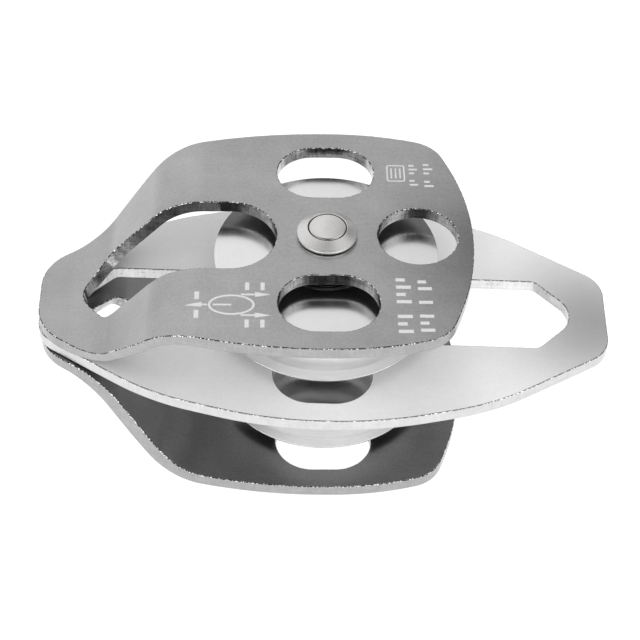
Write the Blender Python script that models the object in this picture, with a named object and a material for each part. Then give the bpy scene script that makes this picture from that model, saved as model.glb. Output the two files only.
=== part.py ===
"""Double sheave block: a centre plate with an eye at one end and a becket at the other, a
ball-bearing sheave above and below it, and two joggled side plates that swing round the
axle. All lengths are in metres. The axle stands along +Z and its lower end is at the
origin. The centre plate lies along X, with its carabiner eye on the -X side."""

import math

import bmesh
import bpy
from mathutils import Matrix, Vector

MM = 0.001

# Plates
SHEET = 3.0 * MM                 # thickness of all three plates
ROPE_GAP = 19.7 * MM             # between the centre plate and each side plate
TIP_GAP = 0.3 * MM               # between a side plate's joggled tip and the centre plate
PLATE_SWING = 2.1                # degrees that the side plates stand round from the centre plate

# Outline corners, each as (x, y, radius of the arc that rounds it)
CENTRE_END = (64.4 * MM, 11.1 * MM, 8.0 * MM)
CENTRE_FLANK = (37.9 * MM, 27.7 * MM, 60.0 * MM)
CENTRE_CROWN = (11.9 * MM, 34.3 * MM, 90.0 * MM)
SIDE_END = (-64.4 * MM, 9.9 * MM, 12.0 * MM)
SIDE_FLANK = (-36.0 * MM, 29.2 * MM, 45.0 * MM)
SIDE_CROWN = (-14.2 * MM, 34.2 * MM, 122.0 * MM)
HEEL_CROWN = (11.0 * MM, 34.2 * MM, 74.0 * MM)
HEEL_CORNER = (25.2 * MM, 30.5 * MM, 9.0 * MM)
HEEL_APEX = (37.1 * MM, 0.0, 66.0 * MM)

# Openings in the plates
EYE_HALF_WIDTH = 10.5 * MM
EYE_INNER_END = (11.1 * MM, EYE_HALF_WIDTH, EYE_HALF_WIDTH)
CENTRE_EYE_SHOULDER = (48.6 * MM, EYE_HALF_WIDTH, 2.5 * MM)
CENTRE_EYE_APEX = (58.6 * MM, 0.0, 7.0 * MM)
SIDE_EYE_SHOULDER = (47.9 * MM, EYE_HALF_WIDTH, 4.5 * MM)
SIDE_EYE_APEX = (55.5 * MM, 0.0, 5.5 * MM)      # nearer, because the joggle shortens the plate
SLOT_Y = 20.7 * MM
SLOT_HALF_LENGTH = 10.9 * MM
SLOT_HALF_WIDTH = 8.35 * MM
HEEL_HOLE_X = 20.0 * MM
HEEL_HOLE_RADIUS = 8.85 * MM

# Joggle of the side plates
JOGGLE_START_X = 27.3 * MM
JOGGLE_ANGLE = 48.0
JOGGLE_RADIUS = 14.5 * MM        # of the sheet's middle, at both bends
JOGGLE_STEPS = 5                 # facets in each bend

# Axle and collars
CLEARANCE = 0.3 * MM
AXLE_RADIUS = 4.7 * MM
AXLE_END_RADIUS = 4.0 * MM
AXLE_STAND_OUT = 2.9 * MM        # axle end above the side plate
AXLE_FLAT_RADIUS = 2.6 * MM
AXLE_EDGE_RADIUS = 3.7 * MM       # where the domed end meets its chamfer
AXLE_DOME_DROP = 0.25 * MM
AXLE_CHAMFER = 0.3 * MM
COLLAR_RADIUS = 6.65 * MM
COLLAR_RIM_HEIGHT = 1.15 * MM    # above the side plate
COLLAR_TOP_HEIGHT = 2.5 * MM
COLLAR_CHAMFER = 0.25 * MM
SPIGOT_RADIUS = 5.3 * MM

# Sheaves
SHEAVE_RADIUS = 24.9 * MM
SHEAVE_WIDTH = 15.0 * MM
GROOVE_RADIUS = 7.6 * MM         # rope up to 15 mm
GROOVE_CENTRE = 26.0 * MM
RIM_WIDTH = 0.7 * MM
RIM_CHAMFER = 0.25 * MM
HUB_LIP_RADIUS = 11.6 * MM

# Ball bearings, 10 x 26 x 8
BEARING_BORE_RADIUS = 5.0 * MM
BEARING_RADIUS = 13.0 * MM
BEARING_WIDTH = 8.0 * MM
BALL_COUNT = 7
BALL_RADIUS = 2.38 * MM
BALL_CIRCLE = 9.0 * MM
RACE_RADIUS = BALL_RADIUS + CLEARANCE
OUTER_SHOULDER = 10.9 * MM
INNER_SHOULDER = 7.1 * MM
CAGE_INNER = 7.9 * MM
CAGE_OUTER = 10.1 * MM
CAGE_WIDTH = 6.2 * MM
POCKET_RADIUS = BALL_RADIUS + CLEARANCE
SHIELD_THICKNESS = 0.4 * MM
SHIELD_INSET = 0.15 * MM

# Spacers between the bearings and the plates
SPACER_RADIUS = 7.0 * MM
SPACER_END_GAP = 0.45 * MM

# Facets
OUTLINE_TOLERANCE = 0.06 * MM
SHEAVE_FACETS = 44
AXLE_FACETS = 24
BEARING_FACETS = 24
CAGE_FACETS = 28
POCKET_FACETS = 10
GROOVE_FACETS = 7
RACE_FACETS = 4
HOLE_FACETS = 28

# Heights
STACK_HALF = SHEET * 1.5 + ROPE_GAP                  # middle of the block to a side plate's outer face
MID_Z = STACK_HALF + AXLE_STAND_OUT
SHEAVE_Z = SHEET / 2 + ROPE_GAP / 2                  # sheave centre above or below the middle


def clear_scene():
    for obj in list(bpy.data.objects):
        bpy.data.objects.remove(obj, do_unlink=True)


def make_material(name, colour, roughness, metallic):
    material = bpy.data.materials.new(name)
    material.use_nodes = True
    shader = material.node_tree.nodes["Principled BSDF"]
    shader.inputs["Base Color"].default_value = (*colour, 1.0)
    shader.inputs["Roughness"].default_value = roughness
    shader.inputs["Metallic"].default_value = metallic
    material.diffuse_color = (*colour, 1.0)
    return material


def add_object(name, bm, material, parent, smooth_angle=30.0):
    """Turn a bmesh into a named object on its parent's axis."""
    bmesh.ops.recalc_face_normals(bm, faces=bm.faces[:])
    if bm.calc_volume(signed=True) < 0:
        bmesh.ops.reverse_faces(bm, faces=bm.faces[:])
    mesh = bpy.data.meshes.new(name)
    bm.to_mesh(mesh)
    bm.free()
    mesh.shade_smooth()
    mesh.set_sharp_from_angle(angle=math.radians(smooth_angle))
    mesh.materials.append(material)
    obj = bpy.data.objects.new(name, mesh)
    bpy.context.collection.objects.link(obj)
    obj.parent = parent
    return obj


def add_axis(name, height, turn=0.0):
    """An empty on the axle, which a moving group hangs on."""
    empty = bpy.data.objects.new(name, None)
    empty.empty_display_size = 10 * MM
    empty.location = (0, 0, height)
    empty.rotation_euler = (0, 0, math.radians(turn))
    bpy.context.collection.objects.link(empty)
    return empty


def arc(centre_x, centre_y, radius, start, end, steps):
    """Points of an arc from start to end, in degrees, both ends included."""
    points = []
    for i in range(steps + 1):
        angle = math.radians(start + (end - start) * i / steps)
        points.append((centre_x + radius * math.cos(angle), centre_y + radius * math.sin(angle)))
    return points


def rounded(corners):
    """A closed outline from (x, y, radius) corners, each one rounded by a tangent arc."""
    points = []
    for i, (x, y, radius) in enumerate(corners):
        here = Vector((x, y))
        back = (Vector(corners[i - 1][:2]) - here).normalized()
        ahead = (Vector(corners[(i + 1) % len(corners)][:2]) - here).normalized()
        half = back.angle(ahead) / 2
        turn = math.pi - 2 * half
        centre = here + (back + ahead).normalized() * (radius / math.sin(half))
        first = here + back * (radius / math.tan(half)) - centre
        step = 2 * math.acos(1 - OUTLINE_TOLERANCE / radius)
        steps = max(2, math.ceil(turn / step))
        sign = 1 if back.cross(ahead) < 0 else -1
        for k in range(steps + 1):
            arm = Vector(first)
            arm.rotate(Matrix.Rotation(sign * turn * k / steps, 2))
            point = centre + arm
            if not points or (point - points[-1]).length > OUTLINE_TOLERANCE:
                points.append(point)
    if (points[0] - points[-1]).length <= OUTLINE_TOLERANCE:
        points.pop()
    return [tuple(point) for point in points]


def mirrored(upper_corners):
    """Close a chain of corners, listed from -X to +X, with its mirror image in the X axis."""
    lower = [(x, -y, radius) for x, y, radius in reversed(upper_corners) if y != 0]
    return list(upper_corners) + lower


def eye_outline(shoulder, apex, side):
    """A carabiner eye: round towards the axle and pointed towards the plate's end."""
    half = [EYE_INNER_END, shoulder, apex]
    return [(side * x, y) for x, y in rounded(mirrored(half))]


def slot_outline(y):
    """A slot with round ends, its length along X."""
    corners = []
    for x_sign, y_sign in [(1, 1), (-1, 1), (-1, -1), (1, -1)]:
        corner_y = y + y_sign * SLOT_HALF_WIDTH
        corners.append((x_sign * SLOT_HALF_LENGTH, corner_y, SLOT_HALF_WIDTH))
    return rounded(corners)


def circle_outline(x, radius):
    return arc(x, 0.0, radius, 0, 360, HOLE_FACETS)[:-1]


def centre_plate_outline():
    right = [CENTRE_CROWN, CENTRE_FLANK, CENTRE_END]
    left = [(-x, y, radius) for x, y, radius in reversed(right)]
    return rounded(mirrored(left + right))


def side_plate_outline():
    tail = [SIDE_END, SIDE_FLANK, SIDE_CROWN]
    heel = [HEEL_CROWN, HEEL_CORNER, HEEL_APEX]
    return rounded(mirrored(tail + heel))


def joggle_stations():
    """The distances from the axle at which the joggle's facets meet."""
    angle = math.radians(JOGGLE_ANGLE)
    drop = ROPE_GAP - TIP_GAP
    bend_run = JOGGLE_RADIUS * math.sin(angle)
    slope_run = (drop - 2 * JOGGLE_RADIUS * (1 - math.cos(angle))) / math.tan(angle)
    first = [JOGGLE_RADIUS * math.sin(angle * i / JOGGLE_STEPS) for i in range(JOGGLE_STEPS + 1)]
    total = 2 * bend_run + slope_run
    second = [total - run for run in reversed(first)]
    return [JOGGLE_START_X + run for run in first + second]


def joggle(distance):
    """Height and slope of the sheet's middle at a distance from the axle, towards the eye."""
    angle = math.radians(JOGGLE_ANGLE)
    drop = ROPE_GAP - TIP_GAP
    stations = joggle_stations()
    run = distance - stations[0]
    left = stations[-1] - distance
    bend_run = JOGGLE_RADIUS * math.sin(angle)
    bend_drop = JOGGLE_RADIUS * (1 - math.cos(angle))
    if run <= 0:
        return 0.0, 0.0
    if left <= 0:
        return -drop, 0.0
    if run < bend_run:
        slope = math.asin(run / JOGGLE_RADIUS)
        return -JOGGLE_RADIUS * (1 - math.cos(slope)), slope
    if left < bend_run:
        slope = math.asin(left / JOGGLE_RADIUS)
        return JOGGLE_RADIUS * (1 - math.cos(slope)) - drop, slope
    return -bend_drop - (run - bend_run) * math.tan(angle), angle


def sheet_from_outlines(outlines, stations=()):
    """A flat sheet with holes, its middle at z = 0, cut into facets at the stations."""
    bm = bmesh.new()
    for outline in outlines:
        verts = [bm.verts.new((x, y, 0.0)) for x, y in outline]
        for i, vert in enumerate(verts):
            bm.edges.new((vert, verts[(i + 1) % len(verts)]))
    bmesh.ops.triangle_fill(bm, use_beauty=True, edges=bm.edges[:], normal=(0, 0, 1))
    for station in stations:
        bmesh.ops.bisect_plane(
            bm,
            geom=bm.verts[:] + bm.edges[:] + bm.faces[:],
            dist=1e-7,
            plane_co=(-station, 0, 0),
            plane_no=(1, 0, 0),
        )
    bmesh.ops.triangulate(bm, faces=bm.faces[:])
    raised = bmesh.ops.extrude_face_region(bm, geom=bm.faces[:], use_keep_orig=True)["geom"]
    top = [item for item in raised if isinstance(item, bmesh.types.BMVert)]
    bmesh.ops.translate(bm, verts=top, vec=(0, 0, SHEET))
    bmesh.ops.translate(bm, verts=bm.verts[:], vec=(0, 0, -SHEET / 2))
    return bm


def centre_plate(material, parent):
    outlines = [
        centre_plate_outline(),
        eye_outline(CENTRE_EYE_SHOULDER, CENTRE_EYE_APEX, -1),
        eye_outline(CENTRE_EYE_SHOULDER, CENTRE_EYE_APEX, 1),
        slot_outline(SLOT_Y),
        slot_outline(-SLOT_Y),
        circle_outline(0.0, AXLE_RADIUS + CLEARANCE),
    ]
    return add_object("centre_plate", sheet_from_outlines(outlines), material, parent)


def side_plate(name, up, material, parent):
    """A side plate joggled towards the centre plate; up is 1 above it and -1 below it."""
    outlines = [
        side_plate_outline(),
        eye_outline(SIDE_EYE_SHOULDER, SIDE_EYE_APEX, -1),
        slot_outline(SLOT_Y),
        slot_outline(-SLOT_Y),
        circle_outline(HEEL_HOLE_X, HEEL_HOLE_RADIUS),
        circle_outline(0.0, SPIGOT_RADIUS + CLEARANCE),
    ]
    bm = sheet_from_outlines(outlines, joggle_stations())
    for vert in bm.verts:
        height, slope = joggle(-vert.co.x)
        offset = vert.co.z
        vert.co.x -= offset * math.sin(slope)
        vert.co.z = up * (height + offset * math.cos(slope))
    return add_object(name, bm, material, parent)


def turned(name, profile, facets, material, parent):
    """Turn a closed (radius, height) profile about the parent's Z axis."""
    bm = bmesh.new()
    verts = [bm.verts.new((radius, 0.0, height)) for radius, height in profile]
    edges = []
    for i, vert in enumerate(verts):
        edges.append(bm.edges.new((vert, verts[(i + 1) % len(verts)])))
    bmesh.ops.spin(
        bm,
        geom=verts + edges,
        cent=(0, 0, 0),
        axis=(0, 0, 1),
        angle=math.tau,
        steps=facets,
        use_merge=True,
    )
    bmesh.ops.remove_doubles(bm, verts=bm.verts[:], dist=1e-6)
    bmesh.ops.dissolve_degenerate(bm, edges=bm.edges[:], dist=1e-7)
    bmesh.ops.triangulate(bm, faces=bm.faces[:])
    return add_object(name, bm, material, parent)


def ring(name, inner, outer, low, high, facets, material, parent):
    profile = [(inner, low), (outer, low), (outer, high), (inner, high)]
    return turned(name, profile, facets, material, parent)


def axle(material, parent):
    """The pin, one diameter between the collars and a smaller one inside them."""
    shoulder = STACK_HALF - SHEET - CLEARANCE
    edge = MID_Z - AXLE_DOME_DROP
    half = [
        (AXLE_FLAT_RADIUS, MID_Z),
        (AXLE_EDGE_RADIUS, edge),
        (AXLE_END_RADIUS, edge - AXLE_CHAMFER),
        (AXLE_END_RADIUS, shoulder),
        (AXLE_RADIUS, shoulder),
    ]
    below = [(radius, -height) for radius, height in reversed(half)]
    profile = [(0.0, MID_Z)] + half + below + [(0.0, -MID_Z)]
    return turned("axle", profile, AXLE_FACETS, material, parent)


def collar(name, up, material, parent):
    """A collar: a coned flange outside the side plate and a spigot through it."""
    face = STACK_HALF + CLEARANCE
    bore = AXLE_END_RADIUS + CLEARANCE
    rim = STACK_HALF + COLLAR_RIM_HEIGHT
    profile = [
        (bore, STACK_HALF - SHEET),
        (SPIGOT_RADIUS, STACK_HALF - SHEET),
        (SPIGOT_RADIUS, face),
        (COLLAR_RADIUS - COLLAR_CHAMFER, face),
        (COLLAR_RADIUS, face + COLLAR_CHAMFER),
        (COLLAR_RADIUS, rim - COLLAR_CHAMFER),
        (COLLAR_RADIUS - COLLAR_CHAMFER, rim),
        (bore, STACK_HALF + COLLAR_TOP_HEIGHT),
    ]
    profile = [(radius, up * height) for radius, height in profile]
    return turned(name, profile, AXLE_FACETS, material, parent)


def sheave(name, up, material, parent):
    """A grooved sheave whose bore takes the bearing against a lip on its outer side."""
    half = SHEAVE_WIDTH / 2
    groove_edge = half - RIM_WIDTH
    reach = math.degrees(math.asin(groove_edge / GROOVE_RADIUS))
    groove = arc(GROOVE_CENTRE, 0.0, GROOVE_RADIUS, 180 - reach, 180 + reach, GROOVE_FACETS)
    bore = BEARING_RADIUS + CLEARANCE
    seat = BEARING_WIDTH / 2 + CLEARANCE
    outside = [
        (HUB_LIP_RADIUS, half),
        (SHEAVE_RADIUS - RIM_CHAMFER, half),
        (SHEAVE_RADIUS, half - RIM_CHAMFER),
        (SHEAVE_RADIUS, groove_edge + RIM_CHAMFER),
    ]
    inside = [
        (SHEAVE_RADIUS, -groove_edge - RIM_CHAMFER),
        (SHEAVE_RADIUS, -half + RIM_CHAMFER),
        (SHEAVE_RADIUS - RIM_CHAMFER, -half),
        (bore, -half),
        (bore, seat),
        (HUB_LIP_RADIUS, seat),
    ]
    profile = [(radius, up * height) for radius, height in outside + groove + inside]
    return turned(name, profile, SHEAVE_FACETS, material, parent)


def bearing_rings(side, steel, static_parent, moving_parent):
    half = BEARING_WIDTH / 2
    reach = math.degrees(math.acos((OUTER_SHOULDER - BALL_CIRCLE) / RACE_RADIUS))
    outer_race = arc(BALL_CIRCLE, 0.0, RACE_RADIUS, -reach, reach, RACE_FACETS)
    outer = [(BEARING_RADIUS, half), (BEARING_RADIUS, -half), (OUTER_SHOULDER, -half)]
    outer += outer_race + [(OUTER_SHOULDER, half)]
    inner_race = [(2 * BALL_CIRCLE - radius, -height) for radius, height in outer_race]
    inner = [(BEARING_BORE_RADIUS, -half), (BEARING_BORE_RADIUS, half), (INNER_SHOULDER, half)]
    inner += inner_race + [(INNER_SHOULDER, -half)]
    turned(side + "_bearing_outer_ring", outer, BEARING_FACETS, steel, moving_parent)
    turned(side + "_bearing_inner_ring", inner, BEARING_FACETS, steel, static_parent)


def bearing_shields(side, material, parent):
    """Two shields held by the outer ring, clear of the inner one."""
    top = BEARING_WIDTH / 2 - SHIELD_INSET
    for name, sign in (("outer", 1), ("inner", -1)):
        heights = sorted((sign * (top - SHIELD_THICKNESS), sign * top))
        ring(
            f"{side}_bearing_{name}_shield",
            INNER_SHOULDER + CLEARANCE,
            OUTER_SHOULDER - CLEARANCE,
            *heights,
            BEARING_FACETS,
            material,
            parent,
        )


def bearing_cage(side, material, parent):
    """A one-piece cage with a radial pocket for each ball."""
    half = CAGE_WIDTH / 2
    name = side + "_bearing_cage"
    cage = ring(name, CAGE_INNER, CAGE_OUTER, -half, half, CAGE_FACETS, material, parent)
    bm = bmesh.new()
    for i in range(BALL_COUNT):
        turn = Matrix.Rotation(math.tau * i / BALL_COUNT, 4, "Z")
        lay_down = Matrix.Rotation(math.pi / 2, 4, "Y")
        place = turn @ Matrix.Translation((BALL_CIRCLE, 0, 0)) @ lay_down
        bmesh.ops.create_cone(
            bm,
            cap_ends=True,
            segments=POCKET_FACETS,
            radius1=POCKET_RADIUS,
            radius2=POCKET_RADIUS,
            depth=(CAGE_OUTER - CAGE_INNER) * 2,
            matrix=place,
        )
    cutter = add_object(side + "_cage_pockets", bm, material, parent)
    cutter.hide_render = True
    cutter.display_type = "WIRE"
    cut = cage.modifiers.new("pockets", "BOOLEAN")
    cut.operation = "DIFFERENCE"
    cut.solver = "EXACT"
    cut.object = cutter


def bearing_balls(side, material, parent):
    """The balls share one mesh, each its own object in its pocket."""
    bm = bmesh.new()
    bmesh.ops.create_icosphere(bm, subdivisions=2, radius=BALL_RADIUS)
    first = add_object(side + "_bearing_ball_1", bm, material, parent, smooth_angle=180.0)
    first.location = (BALL_CIRCLE, 0, 0)
    for i in range(1, BALL_COUNT):
        ball = bpy.data.objects.new(f"{side}_bearing_ball_{i + 1}", first.data)
        bpy.context.collection.objects.link(ball)
        ball.parent = parent
        angle = math.tau * i / BALL_COUNT
        ball.location = (BALL_CIRCLE * math.cos(angle), BALL_CIRCLE * math.sin(angle), 0)


def spacers(side, material, parent):
    """Two sleeves that hold the bearing's inner ring in the middle of the rope gap."""
    near = BEARING_WIDTH / 2 + CLEARANCE
    far = ROPE_GAP / 2 - SPACER_END_GAP
    for name, low, high in (("outer", near, far), ("inner", -far, -near)):
        if side == "lower":
            low, high = -high, -low
        ring(
            f"{side}_{name}_spacer",
            BEARING_BORE_RADIUS,
            SPACER_RADIUS,
            low,
            high,
            BEARING_FACETS,
            material,
            parent,
        )


def build():
    clear_scene()
    brushed = make_material("brushed_stainless", (0.42, 0.42, 0.41), 0.38, 1.0)
    bright = make_material("bright_stainless", (0.62, 0.62, 0.61), 0.30, 1.0)
    polished = make_material("polished_steel", (0.72, 0.72, 0.72), 0.18, 1.0)
    machined = make_material("turned_steel", (0.66, 0.66, 0.64), 0.24, 1.0)
    bearing_steel = make_material("bearing_steel", (0.60, 0.60, 0.60), 0.15, 1.0)
    cage_brass = make_material("cage_brass", (0.62, 0.45, 0.20), 0.35, 1.0)
    shield_steel = make_material("shield_steel", (0.45, 0.45, 0.45), 0.30, 1.0)

    frame_axis = add_axis("frame_axis", MID_Z)
    centre_plate(bright, frame_axis)
    axle(machined, frame_axis)
    for side, up in (("upper", 1), ("lower", -1)):
        collar(side + "_axle_collar", up, machined, frame_axis)
        plate_height = MID_Z + up * (STACK_HALF - SHEET / 2)
        plate_axis = add_axis(side + "_plate_axis", plate_height, PLATE_SWING)
        side_plate(side + "_side_plate", up, brushed, plate_axis)
        height = MID_Z + up * SHEAVE_Z
        still_axis = add_axis(side + "_inner_ring_axis", height)
        sheave_axis = add_axis(side + "_sheave_axis", height)
        cage_axis = add_axis(side + "_cage_axis", height)
        sheave(side + "_sheave", up, polished, sheave_axis)
        bearing_rings(side, bearing_steel, still_axis, sheave_axis)
        bearing_shields(side, shield_steel, sheave_axis)
        bearing_cage(side, cage_brass, cage_axis)
        bearing_balls(side, bearing_steel, cage_axis)
        spacers(side, machined, still_axis)


build()
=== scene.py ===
"""The looks of a double sheave block: finely modelled sheet, turned and polished pieces around
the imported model, their metals, and a pale studio. All lengths are in metres, in the frame's
own axes: the axle is the Z axis and the carabiner eye is on the -X side."""

import math

import bmesh
import bpy
import numpy as np
from mathutils import Matrix, Vector
from mathutils.geometry import delaunay_2d_cdt


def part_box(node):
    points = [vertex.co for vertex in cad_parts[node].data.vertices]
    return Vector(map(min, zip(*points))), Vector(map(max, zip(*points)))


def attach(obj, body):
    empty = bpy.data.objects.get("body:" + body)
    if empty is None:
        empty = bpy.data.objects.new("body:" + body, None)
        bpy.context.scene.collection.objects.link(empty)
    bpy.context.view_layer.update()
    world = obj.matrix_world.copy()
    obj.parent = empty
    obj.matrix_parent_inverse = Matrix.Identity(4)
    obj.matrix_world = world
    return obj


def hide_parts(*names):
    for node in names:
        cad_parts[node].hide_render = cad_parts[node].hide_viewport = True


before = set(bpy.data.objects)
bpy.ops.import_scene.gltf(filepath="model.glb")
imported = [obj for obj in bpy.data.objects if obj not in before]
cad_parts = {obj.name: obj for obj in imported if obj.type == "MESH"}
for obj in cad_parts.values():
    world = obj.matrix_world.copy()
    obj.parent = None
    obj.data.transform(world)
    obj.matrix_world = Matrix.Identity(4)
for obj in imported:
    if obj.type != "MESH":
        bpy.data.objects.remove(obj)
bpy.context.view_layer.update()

MM = 0.001

# Degrees by which the side plates stand round from the centre plate
PLATE_SWING = 2.1

# Outline corners, each as (x, y, radius of the arc that rounds it)
CENTRE_END = (64.4 * MM, 11.1 * MM, 8.0 * MM)
CENTRE_FLANK = (37.9 * MM, 27.7 * MM, 60.0 * MM)
CENTRE_CROWN = (11.9 * MM, 34.3 * MM, 90.0 * MM)
SIDE_END = (-64.4 * MM, 9.9 * MM, 12.0 * MM)
SIDE_FLANK = (-36.0 * MM, 29.2 * MM, 45.0 * MM)
SIDE_CROWN = (-14.2 * MM, 34.2 * MM, 122.0 * MM)
HEEL_CROWN = (11.0 * MM, 34.2 * MM, 74.0 * MM)
HEEL_CORNER = (25.2 * MM, 30.5 * MM, 9.0 * MM)
HEEL_APEX = (37.1 * MM, 0.0, 66.0 * MM)
EYE_HALF_WIDTH = 10.5 * MM
EYE_INNER_END = (11.1 * MM, EYE_HALF_WIDTH, EYE_HALF_WIDTH)
CENTRE_EYE_SHOULDER = (48.6 * MM, EYE_HALF_WIDTH, 2.5 * MM)
CENTRE_EYE_APEX = (58.6 * MM, 0.0, 7.0 * MM)
SIDE_EYE_SHOULDER = (47.9 * MM, EYE_HALF_WIDTH, 4.5 * MM)
SIDE_EYE_APEX = (55.5 * MM, 0.0, 5.5 * MM)
SLOT_Y = 20.7 * MM
SLOT_HALF_LENGTH = 10.9 * MM
SLOT_HALF_WIDTH = 8.35 * MM
HEEL_HOLE_X = 20.0 * MM
HEEL_HOLE_RADIUS = 8.85 * MM
JOGGLE_START_X = 27.3 * MM
JOGGLE_ANGLE = math.radians(48.0)
JOGGLE_RADIUS = 14.5 * MM

# How finely curves are cut
OUTLINE_TOLERANCE = 0.004 * MM
PROFILE_TOLERANCE = 0.006 * MM
FILL_TOLERANCE = 1e-9
CUT_TOLERANCE = 1e-8
JOGGLE_STEPS = 14
EDGE_STEPS = 3
DOME_STEPS = 8
RACE_STEPS = 16
GROOVE_STEPS = 40
TURNED_FACETS = 160
SMALL_FACETS = 96
RING_FACETS = 64
BALL_SUBDIVISIONS = 4

# Rounding of the sheet's edges, and of the sharpest corners of turned pieces
EDGE_RADIUS = 0.20 * MM
FINE_ROUNDING = 0.05 * MM
CONE_ROUNDING = 0.06 * MM
FOOT_ROUNDING = 0.08 * MM
SOFT_ROUNDING = 0.10 * MM
RIM_ROUNDING = 0.12 * MM
CHAMFER = 0.3 * MM

# Clearances around the axle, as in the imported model, and how much closer to each other the
# fine axle and collars stand
CLEARANCE = 0.3 * MM
FIT_GAP = 0.06 * MM

# Axle and collars
AXLE_STEP = 0.7 * MM             # from the axle's middle to its ends
DOME_HEIGHT = 0.28 * MM
END_CHAMFER_WIDTH = 0.25 * MM
END_CHAMFER_HEIGHT = 0.22 * MM
SPIGOT_RADIUS = 5.3 * MM
FOOT_INSET = 0.15 * MM
FOOT_EDGE_INSET = 0.05 * MM
FOOT_HEIGHT = 0.26 * MM
RELIEF_DEPTH = 0.22 * MM
RELIEF_START = 0.36 * MM
RELIEF_END = 0.46 * MM
RIM_START = 0.58 * MM
RIM_END = 1.05 * MM              # above the sheet
CONE_LAND = 0.15 * MM
BORE_CHAMFER = 0.12 * MM

# Sheaves
GROOVE_RADIUS = 8.0 * MM
GROOVE_CENTRE = 26.4 * MM
RIM_WIDTH = 0.4 * MM
HUB_LIP_RADIUS = 11.6 * MM
HUB_MARGIN = 1.0 * MM            # beyond the bore, where groove metal can start

# Bearings
BEARING_BORE_RADIUS = 5.0 * MM
INNER_SHOULDER = 7.1 * MM
OUTER_SHOULDER = 10.9 * MM
RACE_MARGIN = 0.3 * MM
BALL_COUNT = 7

# Etched marks: an oval ring with arrows, bars in the places of figures, and a framed page
MARK_LINE = 0.50 * MM
RING_X = -20.7 * MM
RING_Y = -21.5 * MM
RING_HALF_LENGTH = 4.7 * MM
RING_HALF_WIDTH = 2.75 * MM
RING_POINTER_GAP = 0.8 * MM
ARROW_GAP = 0.4 * MM
ARROW_HEAD = 3.4 * MM
HEAD_SLENDERNESS = 0.22          # half of a head's width to its length
EYE_ARROW_LENGTH = 4.6 * MM
ROPE_ARROW_LENGTH = 6.4 * MM
ROPE_ARROW_START = 2.0 * MM
ROPE_ARROW_GAP = 0.3 * MM
FIGURE_LENGTH = 2.3 * MM
FIGURE_WIDTH = 0.9 * MM
EYE_FIGURE_PLACE = (2.6 * MM, 1.6 * MM)
ROPE_FIGURES_X = (3.3 * MM, 6.6 * MM)
ROPE_FIGURE_GAP = 1.3 * MM

# Written lines, each as (x, y of its first bar, height, places that hold a bar)
WRITTEN_LINES = [
    (16.0 * MM, -29.0 * MM, 3.2 * MM, (0, 1, 2, 4, 5, 6, 7)),
    (20.6 * MM, -28.6 * MM, 3.0 * MM, (0, 1, 2, 4, 6, 7)),
    (20.0 * MM, 16.8 * MM, 1.9 * MM, (0, 1, 3, 4, 5)),
    (23.4 * MM, 16.4 * MM, 2.1 * MM, (0, 1, 3, 4, 5)),
]
WRITING_PITCH = 0.68             # these three as shares of the line's height
WRITING_WIDTH = 0.3
SHORT_LETTER = 0.62

PAGE_PLACE = (16.0 * MM, 20.6 * MM)
PAGE_HALF_SIZE = (2.1 * MM, 2.8 * MM)
PAGE_LINE = 0.34 * MM
PAGE_CORNER = 0.6 * MM
PAGE_ROW_PITCH = 1.0 * MM
PAGE_ROW_LENGTH = 3.4 * MM

# Texture of the metals and the floor, in features a metre, along X, Y and Z or the same all
# ways
ROLLING_LINES = (60, 1600, 60)
TUMBLED_GRAIN = 2600.0
STAINS = 70.0
CUT_STRIATIONS = (1900, 1900, 240)
CUT_STREAKS = (120, 120, 2600)
TORN_PATCHES = 420.0
EDGE_NICKS = 2200.0
ETCHED_GRAIN = 5000.0
SCUFFS = 420.0
FLOOR_MOTTLE = 3.0

# The studio. Azimuth 0 is behind the block, on +Y, and 90 is on +X.
FLOOR_SIZE = 6.0
FLOOR_GLOW = 0.93
WORLD_LEVEL = 0.42

# Lights in the sky, each as (azimuth, elevation, half width in degrees, level)
WORLD_LOBES = [
    (-34, 42, 72, 0.56),
    (98, 44, 40, 0.45),
    (180, 46, 34, -0.40),
    (38, 42, 32, -0.36),
    (0, 90, 36, 0.22),
]

# Soft panels, each as (name, azimuth, elevation, distance, width, height, level, whether
# metal reflects it)
SOFTBOXES = [
    ("front_right", 146, 15, 0.70, 0.80, 0.34, 2.4, True),
    ("front_left", 214, 15, 0.70, 0.80, 0.34, 2.6, True),
    ("front_fill", 180, 56, 0.80, 0.60, 0.60, 2.2, False),
]

# Camera
CAMERA_TARGET = (-0.842 * MM, -0.031 * MM, 24.392 * MM)
CAMERA_DISTANCE = 423.29 * MM
CAMERA_AZIMUTH = math.radians(-0.503)
CAMERA_ELEVATION = math.radians(46.118)
CAMERA_ROLL = math.radians(2.240)
CAMERA_LENS = 103.41
SENSOR_WIDTH = 36.0


# Measures taken from the frame

def height_of(node):
    """A CAD node's lowest and highest Z."""
    low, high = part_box(node)
    return low.z, high.z


def radius_of(node):
    """The radius of a CAD node that is round about the axle."""
    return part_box(node)[1].x


CENTRE_LOW, CENTRE_TOP = height_of("centre_plate")
SHEET = CENTRE_TOP - CENTRE_LOW
MID_Z = (CENTRE_LOW + CENTRE_TOP) / 2
PLATE_LOW, PLATE_TOP = height_of("upper_side_plate")

# The joggle: two bends with a slope between them
JOGGLE_DROP = PLATE_TOP - PLATE_LOW - SHEET
BEND_RUN = JOGGLE_RADIUS * math.sin(JOGGLE_ANGLE)
BEND_DROP = JOGGLE_RADIUS * (1 - math.cos(JOGGLE_ANGLE))


# Outlines

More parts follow.
